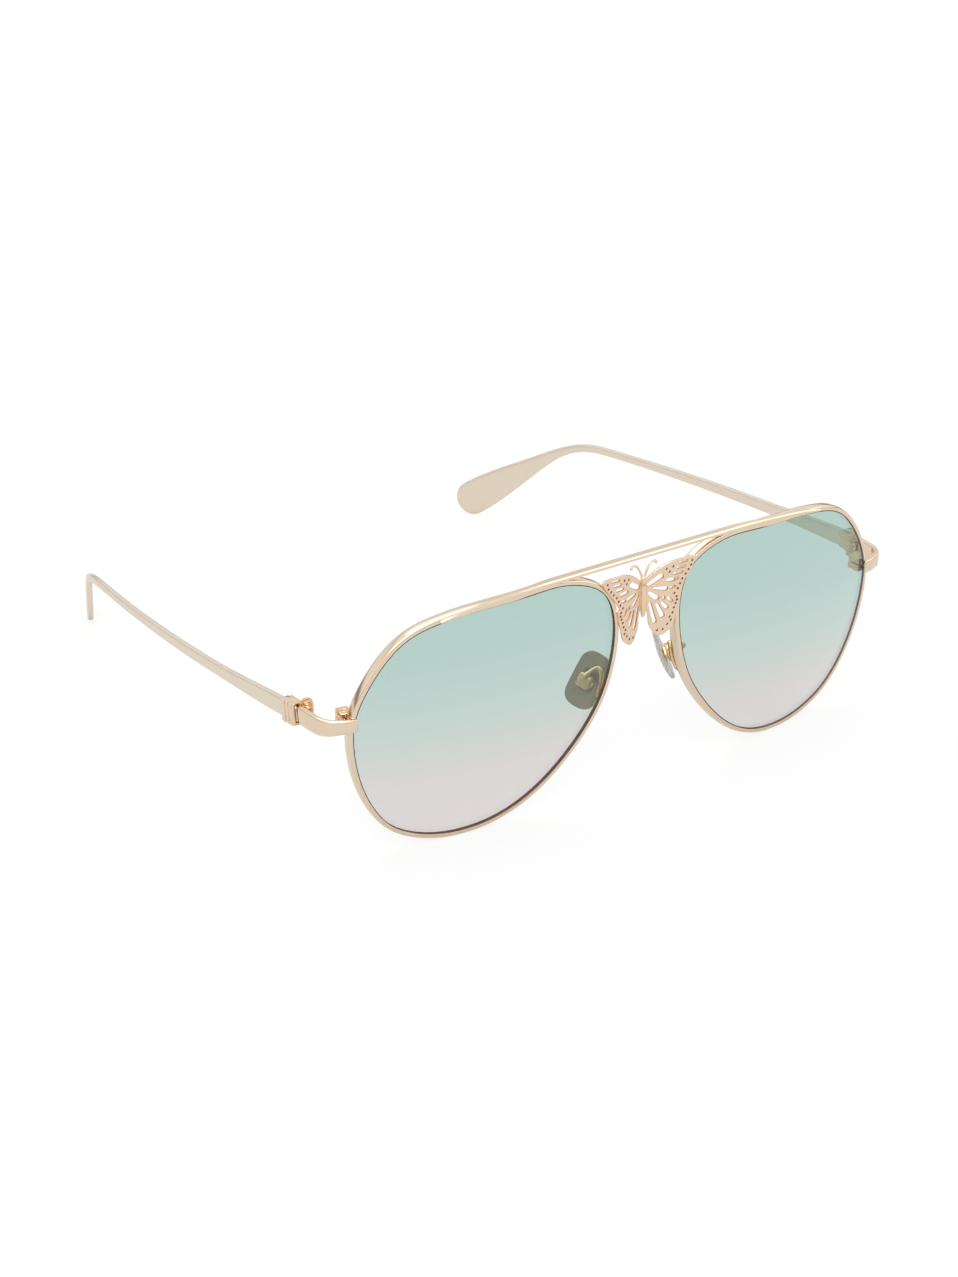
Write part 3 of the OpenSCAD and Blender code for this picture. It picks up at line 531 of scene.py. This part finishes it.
TURN_MERGE_MM = 0.002


def spline(points, steps, closed=True):
    """A smooth curve through the points."""
    n = len(points)

    def at(i):
        return Vector(points[i % n] if closed else points[min(max(i, 0), n - 1)])

    made = []
    for i in range(n if closed else n - 1):
        a, b, c, d = (at(i + k) for k in (-1, 0, 1, 2))
        for j in range(steps):
            t = j / steps
            squared, cubed = 2 * a - 5 * b + 4 * c - d, 3 * b - a - 3 * c + d
            made.append((2 * b + (c - a) * t + squared * t * t + cubed * t ** 3) / 2)
    return made if closed else made + [at(n - 1)]


def swept_back(x):
    """How far a wing stands back at a distance from the middle: flat outside, sloping to the body."""
    out, blend = abs(x), BEND_BLEND_MM * MM
    inside = BEND_MM * MM - out
    if inside < -blend:
        return 0
    return tan(radians(WING_SWEEP)) * (inside if inside > blend else (inside + blend) ** 2 / (4 * blend))


def cell_ring(cell):
    """A slot with round ends of two widths."""
    x0, z0, x1, z1, w0, w1 = cell
    a, b = Vector((x0 * REACH_MM, z0 * WING_H_MM)), Vector((x1 * REACH_MM, z1 * WING_H_MM))
    way = atan2(b.y - a.y, b.x - a.x)
    ring = []
    for spot, width, start in ((b, w1, -pi / 2), (a, w0, pi / 2)):
        turns = [way + start + pi * k / CELL_STEPS for k in range(CELL_STEPS + 1)]
        ring += [spot + width / 2 * REACH_MM * Vector((cos(t), sin(t))) for t in turns]
    return ring


def dot_ring(dot):
    turns = [2 * pi * k / DOT_STEPS for k in range(DOT_STEPS)]
    return [Vector((dot[0] * REACH_MM, dot[1] * WING_H_MM)) + DOT_MM * Vector((cos(t), sin(t))) for t in turns]


def gap_to(spot, ring):
    """Distance in the plane from a spot to a closed ring of points."""
    gaps = []
    for a, b in zip(ring, ring[1:] + ring[:1]):
        way = b - a
        share = min(max((spot - a).dot(way) / way.length_squared, 0), 1) if way.length else 0
        gaps.append((spot - a - way * share).length)
    return min(gaps)


def wing_plate(front, low):
    """One wing: its outline filled round the holes, given a rounded edge, cut into strips and bent."""
    plate = bpy.data.curves.new("wing_plate", "CURVE")
    plate.dimensions, plate.fill_mode = "2D", "BOTH"
    plate.extrude = WING_T_MM * MM / 2 - WING_EDGE_MM * MM
    plate.bevel_depth, plate.bevel_resolution = WING_EDGE_MM * MM, WING_EDGE_ROUNDS
    plate.offset = -WING_EDGE_MM * MM
    outline = spline([(x * REACH_MM, z * WING_H_MM) for x, z in WING_OUTLINE], OUTLINE_STEPS)
    dots = [dot_ring(d) for d in DOTS]
    for ring in [outline, *(cell_ring(c) for c in CELLS), *dots]:
        curve = plate.splines.new("POLY")
        curve.points.add(len(ring) - 1)
        for point, spot in zip(curve.points, ring):
            point.co = (spot.x * MM, spot.y * MM, 0, 1)
        curve.use_cyclic_u = True
    only(linked("wing", plate))
    bpy.ops.object.convert(target="MESH")
    wing = bpy.context.view_layer.objects.active
    wing.data.materials.clear()
    for material in (BUTTERFLY_GOLD, CELL_WALL_SHADE, DOT_WALL_SHADE):
        wing.data.materials.append(material)
    shape = bmesh.new()
    shape.from_mesh(wing.data)
    bmesh.ops.remove_doubles(shape, verts=shape.verts, dist=MERGE_MM * MM)
    for k in range(1, int(REACH_MM / STRIP_MM)):
        bmesh.ops.bisect_plane(shape, geom=shape.verts[:] + shape.edges[:] + shape.faces[:],
                               plane_co=(k * STRIP_MM * MM, 0, 0), plane_no=(1, 0, 0))
    # Walls inside the cells and dots take the painted-shade golds.
    for face in shape.faces:
        spot = (face.calc_center_median() / MM).xy
        if abs(face.normal.z) < WALL_NORMAL_SHARE and gap_to(spot, outline) > WALL_FROM_EDGE_MM:
            near_dots = [dot for dot in dots if (spot - dot[0]).length < NEAR_DOT_MM]
            in_dot = any(gap_to(spot, dot) < WALL_FROM_EDGE_MM for dot in near_dots)
            face.material_index = DOT_MATERIAL if in_dot else CELL_MATERIAL
    for v in shape.verts:
        x, z, t = v.co
        v.co = (x, front + swept_back(x) + WING_T_MM * MM / 2 - t, low + z)
    shape.to_mesh(wing.data)
    shape.free()
    return wing


def turned(name, profile, axis_at):
    """A solid turned round the upright line through its middle."""
    mesh = bpy.data.meshes.new(name)
    mesh.from_pydata(profile, [(i, i + 1) for i in range(len(profile) - 1)], [])
    piece = linked(name, mesh)
    only(piece)
    bpy.ops.object.mode_set(mode="EDIT")
    bpy.ops.mesh.select_all(action="SELECT")
    bpy.ops.mesh.spin(steps=TURN_STEPS, angle=2 * pi, center=axis_at, axis=(0, 0, 1))
    bpy.ops.mesh.select_all(action="SELECT")
    bpy.ops.mesh.remove_doubles(threshold=TURN_MERGE_MM * MM)
    bpy.ops.mesh.normals_make_consistent(inside=False)
    bpy.ops.object.mode_set(mode="OBJECT")
    rounded(piece, BODY_LEVELS)
    return piece


def drawn(name, spots, radius):
    """A round wire along the spots, which ends in a small bead."""
    wire = bpy.data.curves.new(name, "CURVE")
    wire.dimensions, wire.use_fill_caps = "3D", True
    wire.bevel_depth, wire.bevel_resolution = radius, WIRE_ROUNDS
    curve = wire.splines.new("POLY")
    curve.points.add(len(spots) - 1)
    for k, (point, spot) in enumerate(zip(curve.points, spots)):
        point.co = (*spot, 1)
        point.radius = BEAD_SWELL if k >= len(spots) - BEAD_POINTS else 1
    only(linked(name, wire))
    bpy.ops.object.convert(target="MESH")
    return bpy.context.view_layer.objects.active


def butterfly():
    low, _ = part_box("butterfly_bridge")
    wing = wing_plate(low.y, low.z)
    other = linked("other_wing", wing.data.copy())
    other.data.transform(Matrix.Scale(-1, 4, (1, 0, 0)))
    other.data.flip_normals()
    body_y = low.y + swept_back(0) + (WING_T_MM / 2 - BODY_PROUD_MM) * MM
    foot = Vector((0, body_y, low.z + BODY_LOW_SHARE * WING_H_MM * MM))
    profile = [foot + Vector((x * BODY_R_MM * MM, 0, z * BODY_L_MM * MM)) for x, z in BODY_OUTLINE]
    rounds = [turned("body", profile, foot)]
    root = foot + Vector((0, 0, ANTENNA_ROOT_SHARE * BODY_L_MM * MM))
    curve = spline(ANTENNA, OUTLINE_STEPS, closed=False)
    for way in (-1, 1):
        spots = [root + Vector((way * p.x * ANTENNA_OUT_MM, 0, p.y * ANTENNA_RISE_MM)) * MM for p in curve]
        rounds.append(drawn("antenna", spots, ANTENNA_R_MM * MM))
    for part in rounds:
        part.data.materials.clear()
        part.data.materials.append(BUTTERFLY_GOLD)
    only(wing)
    for part in (other, *rounds):
        part.select_set(True)
    bpy.ops.object.join()
    wing.name = "shaped_butterfly"
    smooth(wing, BUTTERFLY_SHARP)
    dressed(wing, None, "front", "gold", "butterfly_bridge")


wire_work()
hardware()
for side in SIDES:
    lens(side)
butterfly()


# Stage: a white sweep that keeps a soft shadow near the glasses and glows further off, and is dimmer in mirrors
FLOOR_SIZE = 12
GLOW_START = 0.5
GLOW_NEAR, GLOW_FAR = 0.8, 1.0
MIRRORED_PART = 0.4
MIRRORED_GLOW = 0.45


def stage():
    recipe = Recipe(bpy.data.materials.new("white_sweep"))
    seen = recipe.node("ShaderNodeLightPath", {})
    mirrored = seen[GLOSSY_RAY] * (1 - seen[TRANSMISSION_RAY])
    far = recipe.node("ShaderNodeVectorMath", {"operation": "LENGTH"}, recipe.place())[LENGTH_RESULT]
    glowing = recipe.between(far - GLOW_START, GLOW_NEAR, GLOW_FAR)
    share = seen[CAMERA_RAY].at_least(seen[TRANSMISSION_RAY]) * glowing + mirrored * MIRRORED_PART
    lit = recipe.node("ShaderNodeBsdfDiffuse", {}, WHITE)[0]
    glow = recipe.mixed(mirrored, WHITE, grey(MIRRORED_GLOW))
    white = recipe.node("ShaderNodeEmission", {}, glow, 1.0)[0]
    recipe.surface(recipe.node("ShaderNodeMixShader", {}, share, lit, white)[0])
    bpy.ops.mesh.primitive_plane_add(size=FLOOR_SIZE, location=(0, 0, 0))
    floor = bpy.context.object
    floor.name = "sweep"
    floor.data.materials.append(recipe.owner)


# Room: grey by how far up a ray points, and brighter toward the front. The camera sees it white.
ROOM = [(0.0, 0.2), (0.1, 0.25), (0.17, 0.85), (0.47, 0.82), (0.57, 0.6), (0.67, 0.98), (0.74, 0.98), (0.82, 0.7)]
ROOM_FRONT = 0.2
ROOM_LIGHT = 0.7


def world():
    recipe = Recipe(bpy.data.worlds.new("white_room"))
    bpy.context.scene.world = recipe.owner
    seen = recipe.node("ShaderNodeLightPath", {})
    _, back, up = recipe.parts(recipe.node("ShaderNodeTexCoord", {})[WORLD_WAY])
    stops = [(height, grey(level)) for height, level in ROOM]
    room = recipe.node("ShaderNodeValToRGB", {"stops": stops}, up)[0] * (1 + ROOM_FRONT - ROOM_FRONT * back)
    light = recipe.mixed(seen[GLOSSY_RAY], grey(ROOM_LIGHT), room)
    shown = recipe.mixed(seen[CAMERA_RAY].at_least(seen[TRANSMISSION_RAY]), light, WHITE)
    recipe.surface(recipe.node("ShaderNodeBackground", {}, shown, 1.0)[0])


# Lamps: name, place, size and watts of each square lamp
LAMPS = [("key", (-0.9, -1.2, 1.45), 1.3, 12),
         ("fill", (1.3, -0.8, 1.0), 1.6, 4.5),
         ("top", (0.1, 0.5, 1.7), 1.3, 7)]
LAMP_AIM = (0, -0.03, 0.025)


def lamps():
    for name, spot, size, watts in LAMPS:
        light = bpy.data.lights.new(name, "AREA")
        light.size, light.energy = size, watts
        lamp = linked(name, light)
        lamp.location = spot
        lamp.rotation_euler = (Vector(LAMP_AIM) - lamp.location).to_track_quat("-Z", "Y").to_euler()


# Camera: stands at the photograph's angle and distance from a point behind the rims
AZIMUTH = -35.33
ELEVATION = 24.99
DISTANCE_MM = 644.8
AIM_BEHIND_RIMS_MM = 42.16
AIM_UP_MM = 24.88
FOCAL_PX = 3036
FRAME_PX = (958, 1277)
AXIS_PX = (526.0, 611.1)
SENSOR_MM = 36
NEAREST, FARTHEST = 0.01, 30


def camera():
    data = bpy.data.cameras.new("photograph")
    eye = linked("photograph", data)
    bpy.context.scene.camera = eye
    a, e = radians(AZIMUTH), radians(ELEVATION)
    back = Vector((sin(a) * cos(e), -cos(a) * cos(e), sin(e)))
    aim = Vector((0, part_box("rim_left")[0].y + AIM_BEHIND_RIMS_MM * MM, AIM_UP_MM * MM))
    eye.location = aim + back * DISTANCE_MM * MM
    eye.rotation_euler = back.to_track_quat("Z", "Y").to_euler()
    long_side = max(FRAME_PX)
    data.sensor_width = SENSOR_MM
    data.lens = FOCAL_PX / long_side * SENSOR_MM
    data.shift_x = (FRAME_PX[0] / 2 - AXIS_PX[0]) / long_side
    data.shift_y = (AXIS_PX[1] - FRAME_PX[1] / 2) / long_side
    data.clip_start, data.clip_end = NEAREST, FARTHEST


stage()
world()
lamps()
camera()
bpy.context.scene.view_settings.view_transform = "Standard"
